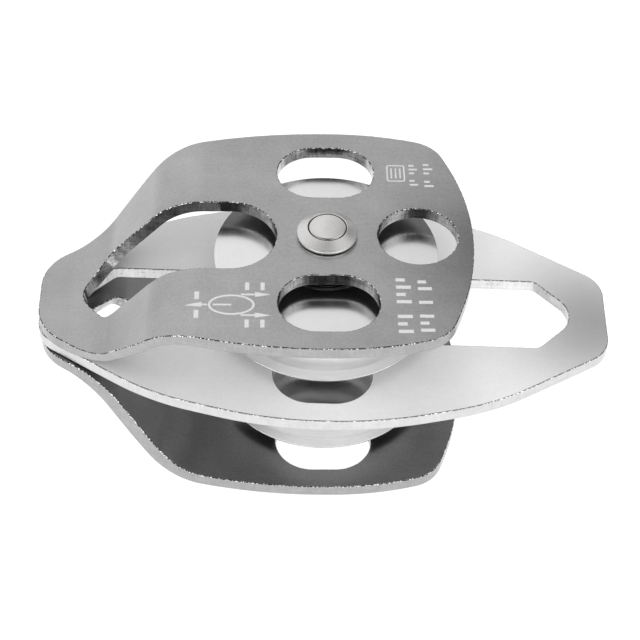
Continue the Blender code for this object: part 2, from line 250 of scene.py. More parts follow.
def rounded(corners, tolerance=OUTLINE_TOLERANCE):
    """A closed outline from (x, y, radius) corners, each rounded by a tangent arc, or left
    sharp where its radius is 0."""
    points = []
    for i, (x, y, radius) in enumerate(corners):
        here = Vector((x, y))
        if radius == 0:
            points.append(here)
            continue
        back = (Vector(corners[i - 1][:2]) - here).normalized()
        ahead = (Vector(corners[(i + 1) % len(corners)][:2]) - here).normalized()
        half = back.angle(ahead) / 2
        turn = math.pi - 2 * half
        centre = here + (back + ahead).normalized() * (radius / math.sin(half))
        first = here + back * (radius / math.tan(half)) - centre
        steps = max(2, math.ceil(turn / (2 * math.acos(1 - tolerance / radius))))
        sign = 1 if back.cross(ahead) < 0 else -1
        for k in range(steps + 1):
            arm = Vector(first)
            arm.rotate(Matrix.Rotation(sign * turn * k / steps, 2))
            point = centre + arm
            if not points or (point - points[-1]).length > tolerance:
                points.append(point)
    if (points[0] - points[-1]).length <= tolerance:
        points.pop()
    return [tuple(point) for point in points]


def mirrored(upper_corners):
    """Close a chain of corners, listed from -X to +X, with its mirror image in the X axis."""
    lower = [(x, -y, radius) for x, y, radius in reversed(upper_corners) if y != 0]
    return list(upper_corners) + lower


def eye_outline(shoulder, apex, side):
    """A long opening with a round inner end and a pointed outer one, towards side * X."""
    half = [EYE_INNER_END, shoulder, apex]
    return [(side * x, y) for x, y in rounded(mirrored(half))]


def slot_outline(y):
    """A slot along X with round ends, centred at y."""
    corners = []
    for x_sign, y_sign in [(1, 1), (-1, 1), (-1, -1), (1, -1)]:
        corner_y = y + y_sign * SLOT_HALF_WIDTH
        corners.append((x_sign * SLOT_HALF_LENGTH, corner_y, SLOT_HALF_WIDTH))
    return rounded(corners)


def circle_outline(x, y, radius, points=SMALL_FACETS):
    angles = [math.tau * i / points for i in range(points)]
    return [(x + radius * math.cos(a), y + radius * math.sin(a)) for a in angles]


def centre_plate_outline():
    right = [CENTRE_CROWN, CENTRE_FLANK, CENTRE_END]
    left = [(-x, y, radius) for x, y, radius in reversed(right)]
    return rounded(mirrored(left + right))


def side_plate_outline():
    tail = [SIDE_END, SIDE_FLANK, SIDE_CROWN]
    heel = [HEEL_CROWN, HEEL_CORNER, HEEL_APEX]
    return rounded(mirrored(tail + heel))


# Etched marks on the upper plate: outlines lying in its face

def along_and_across(angle):
    """Unit vectors along an angle in degrees, and across it to the left."""
    along = Vector((math.cos(math.radians(angle)), math.sin(math.radians(angle))))
    return along, Vector((-along.y, along.x))


def bar(x, y, length, width, angle=0.0):
    """A plain bar from (x, y), running along the angle, in degrees."""
    along, across = along_and_across(angle)
    start = Vector((x, y))
    end = start + along * length
    side = across * (width / 2)
    return [tuple(p) for p in (start - side, end - side, end + side, start + side)]


def arrow(x, y, length, angle):
    """A thin bar with a slender pointed head, from (x, y) along the angle, in degrees."""
    along, across = along_and_across(angle)
    start = Vector((x, y))
    tip = start + along * length
    neck = tip - along * ARROW_HEAD
    side = across * (MARK_LINE / 2)
    barb = across * (ARROW_HEAD * HEAD_SLENDERNESS)
    points = [
        start - side,
        neck - side,
        neck - barb,
        tip,
        neck + barb,
        neck + side,
        start + side,
    ]
    return [tuple(p) for p in points]


def oval(x, y, half_length, half_width):
    circle = circle_outline(0.0, 0.0, 1.0, RING_FACETS)
    return [(x + half_length * i, y + half_width * j) for i, j in circle]


def load_marks():
    """An oval ring with one arrow towards the eye and two the other way, and a plain bar in
    the place of each figure."""
    half_line = MARK_LINE / 2
    ring_end = RING_X - RING_HALF_LENGTH
    marks = [
        oval(RING_X, RING_Y, RING_HALF_LENGTH + half_line, RING_HALF_WIDTH + half_line),
        oval(RING_X, RING_Y, RING_HALF_LENGTH - half_line, RING_HALF_WIDTH - half_line),
        bar(RING_X, RING_Y, RING_HALF_LENGTH - RING_POINTER_GAP, MARK_LINE, 180),
        arrow(ring_end - ARROW_GAP, RING_Y, EYE_ARROW_LENGTH, 180),
    ]
    for side in (1, -1):
        figure_x = ring_end - EYE_FIGURE_PLACE[0]
        figure_y = RING_Y + side * EYE_FIGURE_PLACE[1]
        marks.append(bar(figure_x, figure_y, FIGURE_LENGTH, FIGURE_WIDTH, side * 90))
        y = RING_Y + side * (RING_HALF_WIDTH + ROPE_ARROW_GAP)
        marks.append(arrow(RING_X + ROPE_ARROW_START, y, ROPE_ARROW_LENGTH, 0))
        for x in ROPE_FIGURES_X:
            place = (RING_X + x, y + side * ROPE_FIGURE_GAP)
            marks.append(bar(*place, FIGURE_LENGTH, FIGURE_WIDTH, side * 90))
    return marks


def writing_marks():
    """Rows of plain bars in the places of the plate's written lines."""
    marks = []
    for x, y, height, places in WRITTEN_LINES:
        for place in places:
            corner_y = y + place * (height * WRITING_PITCH)
            length = height * (SHORT_LETTER if place % 2 else 1.0)
            marks.append(bar(x - height / 2, corner_y, length, height * WRITING_WIDTH))
    return marks


def page_frame(inset, corner):
    """An outline of the page's frame, set in from its edge."""
    x, y = PAGE_PLACE
    half_x, half_y = PAGE_HALF_SIZE
    signs = [(1, 1), (-1, 1), (-1, -1), (1, -1)]
    half_x, half_y = half_x - inset, half_y - inset
    return rounded([(x + i * half_x, y + j * half_y, corner) for i, j in signs])


def page_marks():
    """A small framed page with three lines on it."""
    x, y = PAGE_PLACE
    marks = [page_frame(0.0, PAGE_CORNER), page_frame(PAGE_LINE, PAGE_CORNER / 2)]
    for row in (-1, 0, 1):
        place = (x + row * PAGE_ROW_PITCH, y - PAGE_ROW_LENGTH / 2)
        marks.append(bar(*place, PAGE_ROW_LENGTH, PAGE_LINE, 90))
    return marks


# Sheet pieces

def signed_area(points):
    return sum(a[0] * b[1] - b[0] * a[1] for a, b in zip(points, points[1:] + points[:1])) / 2


def oriented(points, metal_inside):
    """The outline, run so that the metal is on its left."""
    if (signed_area(points) > 0) == metal_inside:
        return list(points)
    return list(reversed(points))


def outward_normals(points):
    """Unit vectors out of the metal at each point of an oriented outline. Long sides weigh
    more, so a straight side stays straight up to the arc that ends it."""
    here = np.array(points)
    ahead = np.roll(here, -1, axis=0) - here
    behind = np.roll(ahead, 1, axis=0)
    total = ahead + behind
    normals = np.stack([total[:, 1], -total[:, 0]], axis=1)
    return normals / np.linalg.norm(normals, axis=1, keepdims=True)


def inside(point, outline):
    """Whether a point is inside an outline, by counting the sides that it is left of."""
    x, y = point
    crossings = 0
    for (ax, ay), (bx, by) in zip(outline, outline[1:] + outline[:1]):
        if (ay > y) != (by > y) and x < ax + (y - ay) * (bx - ax) / (by - ay):
            crossings += 1
    return crossings % 2 == 1


def edge_levels():
    """(inset, height, share of the normal that is outward, share that is up) down the edge."""
    half = SHEET / 2
    quarter = [math.pi / 2 * k / EDGE_STEPS for k in range(EDGE_STEPS + 1)]
    levels = []
    for a in quarter:
        inset = EDGE_RADIUS * (1 - math.sin(a))
        levels.append((inset, half - EDGE_RADIUS * (1 - math.cos(a)), math.sin(a), math.cos(a)))
    below = [(inset, -height, out, -up) for inset, height, out, up in reversed(levels)]
    return levels + below


# Places in a sheet's list of materials
FACE, BACK, WALL, BORE, ARRIS, MARK = range(6)


def closed_edges(rings):
    """Pairs of point numbers that join each ring, for rings whose points follow on."""
    edges = []
    start = 0
    for ring in rings:
        count = len(ring)
        edges += [(start + i, start + (i + 1) % count) for i in range(count)]
        start += count
    return edges


def fill_cap(bm, loops, marks, up, normal_layer):
    """Triangles between the outlines of a cap, with the marks' outlines let into it."""
    height = up * SHEET / 2
    outlines = [[tuple(v.co.xy) for v in loop] for loop in loops]
    points = [Vector(v.co.xy) for loop in loops for v in loop]
    verts = [v for loop in loops for v in loop]
    for mark in marks:
        for x, y in mark:
            vert = bm.verts.new((x, y, height))
            vert[normal_layer] = (0, 0, up)
            verts.append(vert)
            points.append(Vector((x, y)))
    edges = closed_edges(outlines + list(marks))
    _, _, triangles, origins, _, _ = delaunay_2d_cdt(points, edges, [], 0, FILL_TOLERANCE)
    if len(origins) != len(points):
        raise RuntimeError("two outlines of a plate cross")
    plain = FACE if up > 0 else BACK
    for triangle in triangles:
        corners = [verts[origins[i][0]] for i in triangle]
        middle = sum((c.co.xy for c in corners), Vector((0, 0))) / 3
        if not inside(middle, outlines[0]) or any(inside(middle, hole) for hole in outlines[1:]):
            continue
        if up < 0:
            corners.reverse()
        face = bm.faces.new(corners)
        marked = sum(inside(middle, mark) for mark in marks) % 2 == 1
        face.material_index = MARK if marked else plain


def rounded_edge(bm, normal_layer, ring, wall, burnished):
    """The rounded edge that follows an outline. Returns its top and bottom loops."""
    normals = outward_normals(ring)
    rows = []
    for inset, height, out, up in edge_levels():
        row = []
        for (x, y), (nx, ny) in zip(ring, normals):
            vert = bm.verts.new((x - nx * inset, y - ny * inset, height))
            vert[normal_layer] = (nx * out, ny * out, up)
            row.append(vert)
        rows.append(row)
    for level, (upper, lower) in enumerate(zip(rows, rows[1:]), start=-EDGE_STEPS):
        for i in range(len(ring)):
            j = (i + 1) % len(ring)
            face = bm.faces.new((upper[i], lower[i], lower[j], upper[j]))
            face.material_index = ARRIS if level * burnished < 0 else wall
    return rows[0], rows[-1]


def sheet_mesh(outer, holes, marks=(), stations=(), burnished=1):
    """A flat sheet with rounded edges, its middle at z = 0, and its smooth normals in a layer.
    Its top edges are burnished, or its bottom ones where burnished is -1."""
    bm = bmesh.new()
    normal_layer = bm.verts.layers.float_vector.new("surface")
    loops = [rounded_edge(bm, normal_layer, oriented(outer, True), WALL, burnished)]
    for hole in holes:
        loops.append(rounded_edge(bm, normal_layer, oriented(hole, False), BORE, burnished))
    fill_cap(bm, [top for top, _ in loops], marks, 1, normal_layer)
    fill_cap(bm, [bottom for _, bottom in loops], (), -1, normal_layer)
    for station in stations:
        bmesh.ops.bisect_plane(
            bm,
            geom=bm.verts[:] + bm.edges[:] + bm.faces[:],
            dist=CUT_TOLERANCE,
            plane_co=(-station, 0, 0),
            plane_no=(1, 0, 0),
        )
    return bm, normal_layer


def joggle_stations():
    """Distances from the axle at which the joggle's fine facets meet."""
    slope_run = (JOGGLE_DROP - 2 * BEND_DROP) / math.tan(JOGGLE_ANGLE)
    angles = [JOGGLE_ANGLE * i / JOGGLE_STEPS for i in range(JOGGLE_STEPS + 1)]
    first = [JOGGLE_RADIUS * math.sin(angle) for angle in angles]
    total = 2 * BEND_RUN + slope_run
    second = [total - run for run in reversed(first)]
    return [JOGGLE_START_X + run for run in first + second]


def joggle(distance):
    """Height and slope of the sheet's middle at a distance from the axle, towards the eye."""
    stations = joggle_stations()
    run = distance - stations[0]
    left = stations[-1] - distance
    if run <= 0:
        return 0.0, 0.0
    if left <= 0:
        return -JOGGLE_DROP, 0.0
    if run < BEND_RUN:
        slope = math.asin(run / JOGGLE_RADIUS)
        return -JOGGLE_RADIUS * (1 - math.cos(slope)), slope
    if left < BEND_RUN:
        slope = math.asin(left / JOGGLE_RADIUS)
        return JOGGLE_RADIUS * (1 - math.cos(slope)) - JOGGLE_DROP, slope
    return -BEND_DROP - (run - BEND_RUN) * math.tan(JOGGLE_ANGLE), JOGGLE_ANGLE


def bend_sheet(bm, normal_layer):
    """Press the joggle into a flat sheet, turning its normals with it."""
    for vert in bm.verts:
        height, slope = joggle(-vert.co.x)
        offset = vert.co.z
        vert.co.x -= offset * math.sin(slope)
        vert.co.z = height + offset * math.cos(slope)
        nx, ny, nz = vert[normal_layer]
        flat = math.hypot(nx, ny)
        if flat > 0:
            along = nx * math.cos(slope)
            stretch = flat / math.hypot(along, ny)
            nx, ny = along * stretch, ny * stretch
        x = nx * math.cos(slope) - nz * math.sin(slope)
        z = nx * math.sin(slope) + nz * math.cos(slope)
        vert[normal_layer] = (x, ny, z)


def sheet_piece(name, bm, normal_layer, placing, materials):
    """Place a sheet in the frame and give it its own smooth normals."""
    if placing.determinant() < 0:
        bmesh.ops.reverse_faces(bm, faces=bm.faces[:])
    turned_by = placing.to_3x3()
    bm.transform(placing)
    normals = [(turned_by @ Vector(vert[normal_layer])).normalized() for vert in bm.verts]
    bm.verts.layers.float_vector.remove(normal_layer)
    mesh = bpy.data.meshes.new(name)
    bm.to_mesh(mesh)
    bm.free()
    for material in materials:
        mesh.materials.append(material)
    mesh.shade_smooth()
    mesh.normals_split_custom_set_from_vertices(normals)
    obj = bpy.data.objects.new(name, mesh)
    bpy.context.scene.collection.objects.link(obj)
    return obj


def finish_piece(obj, body, node):
    """Have a piece ride on its body and stand for its CAD node."""
    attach(obj, body)
    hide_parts(node)


# Turned pieces

def turned(name, profile, materials, z=0.0, up=1, facets=TURNED_FACETS):
    """Turn a closed profile of (radius, height, rounding) corners about the Z axis, with
    heights measured from z. up is -1 for a piece that stands upside down."""
    points = rounded(profile, PROFILE_TOLERANCE)
    bm = bmesh.new()
    columns = []
    for radius, height in points:
        level = z + up * height
        if radius < OUTLINE_TOLERANCE:
            columns.append([bm.verts.new((0, 0, level))] * facets)
            continue
        ring = circle_outline(0, 0, radius, facets)
        columns.append([bm.verts.new((x, y, level)) for x, y in ring])
    for near, far in zip(columns, columns[1:] + columns[:1]):
        for i in range(facets):
            j = (i + 1) % facets
            corners = list(dict.fromkeys((near[i], near[j], far[j], far[i])))
            if len(corners) > 2:
                bm.faces.new(corners)
    bmesh.ops.recalc_face_normals(bm, faces=bm.faces[:])
    if bm.calc_volume(signed=True) < 0:
        bmesh.ops.reverse_faces(bm, faces=bm.faces[:])
    return smooth_piece(name, bm, materials)


def smooth_piece(name, bm, materials, sharp_angle=32.0):
    mesh = bpy.data.meshes.new(name)
    bm.to_mesh(mesh)
    bm.free()
    for material in materials:
        mesh.materials.append(material)
    mesh.shade_smooth()
    mesh.set_sharp_from_angle(angle=math.radians(sharp_angle))
    obj = bpy.data.objects.new(name, mesh)
    bpy.context.scene.collection.objects.link(obj)
    weighted = obj.modifiers.new("weighted", "WEIGHTED_NORMAL")
    weighted.keep_sharp = True
    return obj


# Metals

def add_node(owner, kind, inputs=None, **settings):
    """Add a shader node to a material or a world. An input is a value, or another node's
    output to link."""
    made = owner.node_tree.nodes.new(kind)
    for key, value in settings.items():
        setattr(made, key, value)
    for key, value in (inputs or {}).items():
        if isinstance(value, bpy.types.NodeSocket):
            owner.node_tree.links.new(value, made.inputs[key])
        else:
            made.inputs[key].default_value = value
    return made


def metal(name, metallic=1.0):
    """A new material and its shader."""
    material = bpy.data.materials.new(name)
    material.use_nodes = True
    shader = material.node_tree.nodes["Principled BSDF"]
    shader.inputs["Metallic"].default_value = metallic
    return material, shader


def object_point(material, scale=(1, 1, 1)):
    """Object coordinates, stretched for a grain."""
    place = add_node(material, "ShaderNodeTexCoord").outputs["Object"]
    mapping = add_node(material, "ShaderNodeMapping", {"Vector": place, "Scale": scale})
    return mapping.outputs["Vector"]


def noise(material, vector, scale, detail=2.0, roughness=0.5):
    """A noise's level, from 0 to 1. One unit of scale is one feature a metre."""
    return add_node(
        material,
        "ShaderNodeTexNoise",
        {"Vector": vector, "Scale": scale, "Detail": detail, "Roughness": roughness},
    ).outputs["Fac"]


def axle_point(material, radius_scale, height_scale):
    """A coordinate that runs outwards from the axle and up it, for marks left by turning."""
    place = add_node(material, "ShaderNodeTexCoord").outputs["Object"]
    parts = add_node(material, "ShaderNodeSeparateXYZ", {"Vector": place}).outputs
    flat = add_node(material, "ShaderNodeCombineXYZ", {"X": parts["X"], "Y": parts["Y"]})
    radius = add_node(
        material, "ShaderNodeVectorMath", {0: flat.outputs["Vector"]}, operation="LENGTH"
    ).outputs["Value"]
    joined = add_node(material, "ShaderNodeCombineXYZ", {"X": radius, "Y": parts["Z"]})
    scaled = add_node(
        material,
        "ShaderNodeVectorMath",
        {0: joined.outputs["Vector"], 1: (radius_scale, height_scale, 1.0)},
        operation="MULTIPLY",
    )
    return scaled.outputs["Vector"]


def spread(material, level, low, high, from_low=0.3, from_high=0.7):
    """Map a noise's level onto a range."""
    return add_node(
        material,
        "ShaderNodeMapRange",
        {
            "Value": level,
            "From Min": from_low,
            "From Max": from_high,
            "To Min": low,
            "To Max": high,
        },
    ).outputs["Result"]


def greys(material, level, dark, light, from_low=0.3, from_high=0.7):
    """A colour between two, following a noise's level."""
    ramp = add_node(material, "ShaderNodeValToRGB", {"Fac": level})
    ramp.color_ramp.elements[0].position = from_low
    ramp.color_ramp.elements[0].color = (*dark, 1.0)
    ramp.color_ramp.elements[1].position = from_high
    ramp.color_ramp.elements[1].color = (*light, 1.0)
    return ramp.outputs["Color"]


def blend_level(material, share, first, second):
    """Mix two levels; share is the second one's part."""
    return add_node(
        material, "ShaderNodeMix", {"Factor": share, "A": first, "B": second}
    ).outputs["Result"]


def bumped(material, shader, level, depth, strength):
    bump = add_node(
        material, "ShaderNodeBump", {"Height": level, "Distance": depth, "Strength": strength}
    )
    material.node_tree.links.new(bump.outputs["Normal"], shader.inputs["Normal"])


def connect(material, level, shader, socket):
    material.node_tree.links.new(level, shader.inputs[socket])


def with_painted_shade(material, colour, painted_shade):
    """Painted shade: a colour that darkens towards a point. A painted shade is that point, the
    distance at which the darkening starts, and the share of the colour that is left at the
    point."""
    if not painted_shade:
        return colour
    centre, reach, share = painted_shade
    place = add_node(material, "ShaderNodeTexCoord").outputs["Object"]
    distance = add_node(
        material, "ShaderNodeVectorMath", {0: place, 1: centre}, operation="DISTANCE"
    ).outputs["Value"]
    inputs = {"Value": distance, "From Min": 0.0, "From Max": reach, "To Min": share}
    fade = add_node(
        material, "ShaderNodeMapRange", inputs, interpolation_type="SMOOTHSTEP"
    ).outputs["Result"]
    return add_node(
        material, "ShaderNodeVectorMath", {0: colour, "Scale": fade}, operation="SCALE"
    ).outputs["Vector"]


def rolled_sheet(name, dark, light, roughness, depth, metallic=1.0, painted_shade=None):
    """Satin sheet: fine tumbled grain over faint cloudy stains and rolling lines, with painted
    shade where one is given.
    """
    material, shader = metal(name, metallic)
    point = object_point(material)
    lines = noise(material, object_point(material, ROLLING_LINES), 1.0, 3.0, 0.6)
    grain = noise(material, point, TUMBLED_GRAIN, 4.0, 0.75)
    clouds = noise(material, point, STAINS, 5.0, 0.6)
    texture = blend_level(material, 0.85, lines, grain)
    level = blend_level(material, 0.35, texture, clouds)
    colour = greys(material, level, dark, light, 0.38, 0.62)
    connect(material, with_painted_shade(material, colour, painted_shade), shader, "Base Color")
    connect(material, spread(material, level, *roughness), shader, "Roughness")
    bumped(material, shader, texture, depth, 0.8)
    return material


def cut_edge(name, dark, light, roughness, depth, metallic=1.0, painted_shade=None):
    """A cut wall: striations across the sheet, streaks along it, and torn patches, with painted
    shade where one is given.
    """
    material, shader = metal(name, metallic)
    across = noise(material, object_point(material, CUT_STRIATIONS), 1.0, 3.0, 0.6)
    along = noise(material, object_point(material, CUT_STREAKS), 1.0, 3.0, 0.6)
    patches = noise(material, object_point(material), TORN_PATCHES, 3.0, 0.6)
    texture = blend_level(material, 0.5, across, along)
    level = blend_level(material, 0.4, texture, patches)
    colour = greys(material, level, dark, light, 0.40, 0.60)
    connect(material, with_painted_shade(material, colour, painted_shade), shader, "Base Color")
    connect(material, spread(material, level, *roughness), shader, "Roughness")
    bumped(material, shader, texture, depth, 0.8)
    return material


def burnished_arris(name, dark, light):
    """The rounded edge between face and wall: bright, with dark, rougher nicks along it."""
    material, shader = metal(name)
    nicks = noise(material, object_point(material), EDGE_NICKS, 3.0, 0.7)
    connect(material, greys(material, nicks, dark, light, 0.51, 0.58), shader, "Base Color")
    connect(material, spread(material, nicks, 0.42, 0.16), shader, "Roughness")
    bumped(material, shader, nicks, 0.05 * MM, 0.8)
    return material


def etched(name):
    """Laser-etched marks: pale and matt."""
    material, shader = metal(name, metallic=0.25)
    grain = noise(material, object_point(material), ETCHED_GRAIN, 3.0, 0.6)
    connect(material, greys(material, grain, grey(0.60), grey(0.80)), shader, "Base Color")
    connect(material, spread(material, grain, 0.55, 0.75), shader, "Roughness")
    bumped(material, shader, grain, 0.02 * MM, 0.5)
    return material


def turned_metal(name, dark, light, roughness, depth, pitch, anisotropy, metallic=1.0):
    """Metal with the fine rings that a lathe leaves, broken by faint scuffs."""
    material, shader = metal(name, metallic)
    rings = noise(material, axle_point(material, 1 / pitch, 1 / pitch), 1.0, 3.0, 0.6)
    scuffs = noise(material, object_point(material), SCUFFS, 4.0, 0.65)
    level = blend_level(material, 0.35, rings, scuffs)
    connect(material, greys(material, level, dark, light), shader, "Base Color")
    connect(material, spread(material, level, *roughness), shader, "Roughness")
    bumped(material, shader, rings, depth, 0.6)
    shader.inputs["Anisotropic"].default_value = anisotropy
    tangent = add_node(material, "ShaderNodeTangent", direction_type="RADIAL", axis="Z")
    connect(material, tangent.outputs["Tangent"], shader, "Tangent")
    return material


def grey(level, warmth=0.0):
    """A grey, warmed towards red by a small share."""
    return (level * (1 + warmth), level, level * (1 - warmth))


# Painted shade: places where the metal's colour is darkened to stand in for shade and dark
# reflections, each as (point, reach, share of the colour left there)
# Painted shade on the side plates' outer faces, darker towards the heel
HEEL_PAINTED_SHADE = ((45.0 * MM, -3.0 * MM, PLATE_TOP), 40.0 * MM, 0.34)
# Painted shade on the centre plate's faces, darker towards the becket end where the light falls
# off
BECKET_PAINTED_SHADE = ((62.0 * MM, -2.0 * MM, CENTRE_TOP), 34.0 * MM, 0.40)
# Painted shade on the side plates' bored walls, darker round the eye, where they reflect the
# dark underside of the plates
EYE_PAINTED_SHADE = ((-35.0 * MM, 2.0 * MM, PLATE_TOP), 32.0 * MM, 0.10)

SIDE_FACE = rolled_sheet(
    "satin_sheet",
    dark=grey(0.35),
    light=grey(0.49),
    roughness=(0.28, 0.38),
    depth=0.020 * MM,
    # painted shade towards the heel
    painted_shade=HEEL_PAINTED_SHADE,
)
# The side plates' inner faces: the same sheet as the outer faces painted darker, as painted
# shade for the shadow and dark reflections between the plates
SIDE_BACK_PAINTED_SHADE = rolled_sheet(
    "inner_sheet_painted_shade",
    dark=grey(0.15),
    light=grey(0.22),
    roughness=(0.28, 0.38),
    depth=0.020 * MM,
)
CENTRE_FACE = rolled_sheet(
    "pale_sheet",
    dark=grey(0.82),
    light=grey(0.92),
    roughness=(0.40, 0.52),
    depth=0.012 * MM,
    metallic=0.2,
    # painted shade towards the becket end
    painted_shade=BECKET_PAINTED_SHADE,
)
SIDE_WALL = cut_edge(
    "satin_cut_wall",
    dark=grey(0.36),
    light=grey(0.43),
    roughness=(0.18, 0.28),
    depth=0.008 * MM,
)
CENTRE_WALL = cut_edge(
    "pale_cut_wall",
    dark=grey(0.60),
    light=grey(0.69),
    roughness=(0.28, 0.44),
    depth=0.008 * MM,
    metallic=0.9,
)
SIDE_BORE = cut_edge(
    "satin_bored_wall",
    dark=grey(0.24),
    light=grey(0.66),
    roughness=(0.08, 0.20),
    depth=0.05 * MM,
    # painted shade round the eye
    painted_shade=EYE_PAINTED_SHADE,
)
CENTRE_BORE = cut_edge(
    "pale_bored_wall",
    dark=grey(0.62),
    light=grey(0.82),
    roughness=(0.22, 0.40),
    depth=0.03 * MM,
    metallic=0.6,
)
SIDE_ARRIS = burnished_arris("satin_arris", dark=grey(0.04), light=grey(0.90))
CENTRE_ARRIS = burnished_arris("pale_arris", dark=grey(0.16), light=grey(0.90))
ETCHED = etched("etched_mark")
GROOVE_METAL = turned_metal(
    "satin_groove",
    dark=grey(0.74),
    light=grey(0.84),
    roughness=(0.30, 0.40),
    depth=0.006 * MM,
    pitch=0.25 * MM,
    anisotropy=0.25,
    metallic=0.6,
)
SHEAVE_METAL = turned_metal(
    "polished_sheave",
    dark=grey(0.78),
    light=grey(0.87),
    roughness=(0.14, 0.24),
    depth=0.005 * MM,
    pitch=0.25 * MM,
    anisotropy=0.25,
)
COLLAR_METAL = turned_metal(
    "turned_steel",
    dark=grey(0.66, 0.01),
    light=grey(0.80, 0.01),
    roughness=(0.22, 0.34),
    depth=0.010 * MM,
    pitch=0.20 * MM,
    anisotropy=0.8,
)
AXLE_METAL = turned_metal(
    "axle_steel",
    dark=grey(0.60, 0.02),
    light=grey(0.74, 0.02),
    roughness=(0.14, 0.24),
    depth=0.004 * MM,
    pitch=0.30 * MM,
    anisotropy=0.7,
)
BEARING_METAL = turned_metal(
    "bearing_steel",
    dark=grey(0.58),
    light=grey(0.68),
    roughness=(0.08, 0.16),
    depth=0.003 * MM,
    pitch=0.15 * MM,
    anisotropy=0.2,
)
SHIELD_METAL = turned_metal(
    "shield_steel",
    dark=grey(0.40),
    light=grey(0.50),
    roughness=(0.24, 0.36),
    depth=0.005 * MM,
    pitch=0.25 * MM,
    anisotropy=0.3,
)
BRASS = turned_metal(
    "cage_brass",
    dark=(0.52, 0.37, 0.16),
    light=(0.66, 0.48, 0.22),
    roughness=(0.25, 0.38),
    depth=0.006 * MM,
    pitch=0.30 * MM,
    anisotropy=0.2,
)


# Building the pieces

def make_centre_plate():
    """The flat plate with an eye at each end, a slot at each side, and the axle's hole."""
    holes = [
        eye_outline(CENTRE_EYE_SHOULDER, CENTRE_EYE_APEX, -1),
        eye_outline(CENTRE_EYE_SHOULDER, CENTRE_EYE_APEX, 1),
        slot_outline(SLOT_Y),
        slot_outline(-SLOT_Y),
        circle_outline(0.0, 0.0, radius_of("axle") + CLEARANCE),
    ]
    bm, normal_layer = sheet_mesh(centre_plate_outline(), holes)
    placing = Matrix.Translation((0, 0, MID_Z))
    materials = [CENTRE_FACE, CENTRE_FACE, CENTRE_WALL, CENTRE_BORE, CENTRE_ARRIS]
    obj = sheet_piece("fine_centre_plate", bm, normal_layer, placing, materials)
    finish_piece(obj, "frame", "centre_plate")


def make_side_plate(side, up):
    """A plate with its eye end joggled in, swung a little round the axle. The upper one is
    etched, and the lower one is its mirror image."""
    holes = [
        eye_outline(SIDE_EYE_SHOULDER, SIDE_EYE_APEX, -1),
        slot_outline(SLOT_Y),
        slot_outline(-SLOT_Y),
        circle_outline(HEEL_HOLE_X, 0.0, HEEL_HOLE_RADIUS),
        circle_outline(0.0, 0.0, SPIGOT_RADIUS + CLEARANCE),
    ]
    marks = load_marks() + writing_marks() + page_marks() if up > 0 else []
    bm, normal_layer = sheet_mesh(side_plate_outline(), holes, marks, joggle_stations(), up)
    bend_sheet(bm, normal_layer)
    middle = PLATE_TOP - SHEET / 2 - MID_Z
    placing = Matrix.Translation((0, 0, MID_Z + up * middle))
    placing = placing @ Matrix.Rotation(math.radians(PLATE_SWING), 4, "Z")
    placing = placing @ Matrix.Diagonal((1, 1, up, 1))
    materials = [SIDE_FACE, SIDE_BACK_PAINTED_SHADE, SIDE_WALL, SIDE_BORE, SIDE_ARRIS, ETCHED]
    obj = sheet_piece(f"fine_{side}_side_plate", bm, normal_layer, placing, materials)
    finish_piece(obj, f"{side}_plate", f"{side}_side_plate")


def make_axle():
    """A pin with a thick middle and a slightly domed, chamfered end at each side."""
    low, high = height_of("axle")
    half = (high - low) / 2
    plate_inside = PLATE_TOP - SHEET - MID_Z
    shoulder = plate_inside - CLEARANCE
    radius = radius_of("axle")
    end_radius = radius - AXLE_STEP + FIT_GAP
    dome_radius = end_radius - END_CHAMFER_WIDTH
    upper = []
    for k in range(DOME_STEPS + 1):
        share = k / DOME_STEPS
        upper.append((dome_radius * share, half - DOME_HEIGHT * share * share, 0))
    upper += [
        (end_radius, half - DOME_HEIGHT - END_CHAMFER_HEIGHT, SOFT_ROUNDING),
        (end_radius, shoulder, 0),
        (radius, shoulder, EDGE_RADIUS),
    ]
    lower = [(r, -h, rounding) for r, h, rounding in reversed(upper)]
    obj = turned("fine_axle", upper + lower, [AXLE_METAL], z=(low + high) / 2)
    finish_piece(obj, "frame", "axle")


def make_collar(side, up):
    """A coned collar: a thin foot ring, a relief above it, the rim, and the cone."""
    low, high = height_of(f"{side}_axle_collar")
    length = high - low
    radius = radius_of(f"{side}_axle_collar")
    seat = SHEET + CLEARANCE
    bore = radius_of("axle") - AXLE_STEP + CLEARANCE - FIT_GAP / 2
    profile = [
        (bore, 0.0, SOFT_ROUNDING),
        (SPIGOT_RADIUS, 0.0, SOFT_ROUNDING),
        (SPIGOT_RADIUS, seat, 0),
        (radius - FOOT_INSET, seat, FINE_ROUNDING),
        (radius - FOOT_EDGE_INSET, seat + FOOT_HEIGHT, FOOT_ROUNDING),
        (radius - RELIEF_DEPTH, seat + RELIEF_START, FINE_ROUNDING),
        (radius - RELIEF_DEPTH, seat + RELIEF_END, FINE_ROUNDING),
        (radius, seat + RIM_START, FOOT_ROUNDING),
        (radius, SHEET + RIM_END, RIM_ROUNDING),
        (bore + CONE_LAND, length, CONE_ROUNDING),
        (bore, length - BORE_CHAMFER, FINE_ROUNDING),
    ]
    base = low if up > 0 else high
    obj = turned(f"fine_{side}_collar", profile, [COLLAR_METAL], z=base, up=up)
    finish_piece(obj, "frame", f"{side}_axle_collar")


